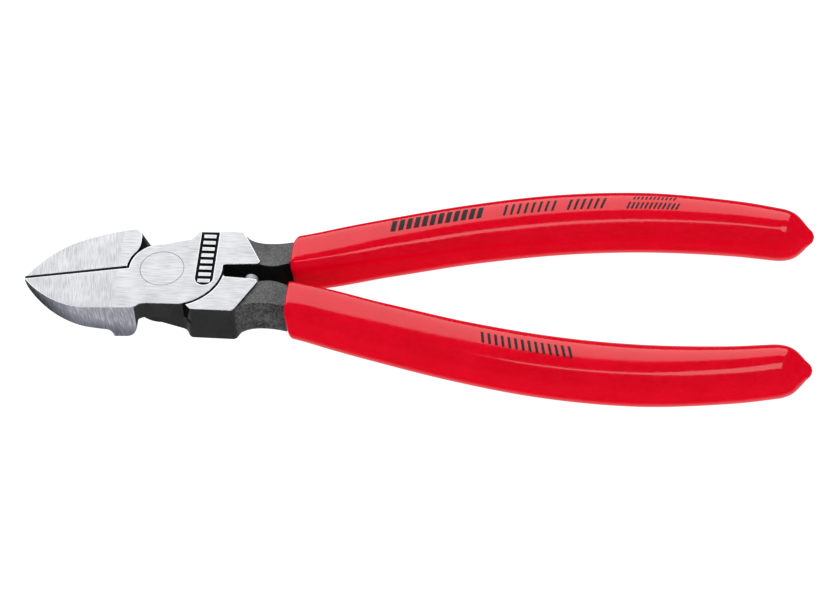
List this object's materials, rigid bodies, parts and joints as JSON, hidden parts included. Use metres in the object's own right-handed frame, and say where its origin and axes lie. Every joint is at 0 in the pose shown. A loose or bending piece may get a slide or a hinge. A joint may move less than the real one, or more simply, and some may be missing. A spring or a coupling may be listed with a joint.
{
  "type": "diagonal cutting pliers",
  "caption": "Diagonal cutting pliers with flush-faced bevelled jaws, a riveted lap joint, blackened shanks and glossy red dipped grips, at rest almost closed.",
  "frame": {"origin": "on the rivet's axis, at the underside of the joint", "axes": "+Z along the rivet's axis, out of the face that carries the sunk panel; +X from the joint towards the handle ends; +Y towards lever_a's handle"},
  "size_m": [0.1601, 0.0534, 0.01],
  "materials": {
    "steel": "ground and brushed on the faces, blackened on the shanks, the forged sides and the floor of the sunk panel",
    "grip": "smooth glossy red dip coating",
    "marking": "black printed marks on the grips"
  },
  "bodies": {
    "lever_a_side": {"lever_a": "steel", "rivet": "steel", "grip_a": "grip"},
    "lever_b_side": {"lever_b": "steel", "grip_b": "grip"}
  },
  "joints": [
    {"name": "jaw_pivot", "type": "hinge", "parent": "lever_a_side", "child": "lever_b_side", "pos_m": [0, 0, 0.0045], "axis": [0, 0, -1], "range_deg": [-0.8, 35]}
  ]
}
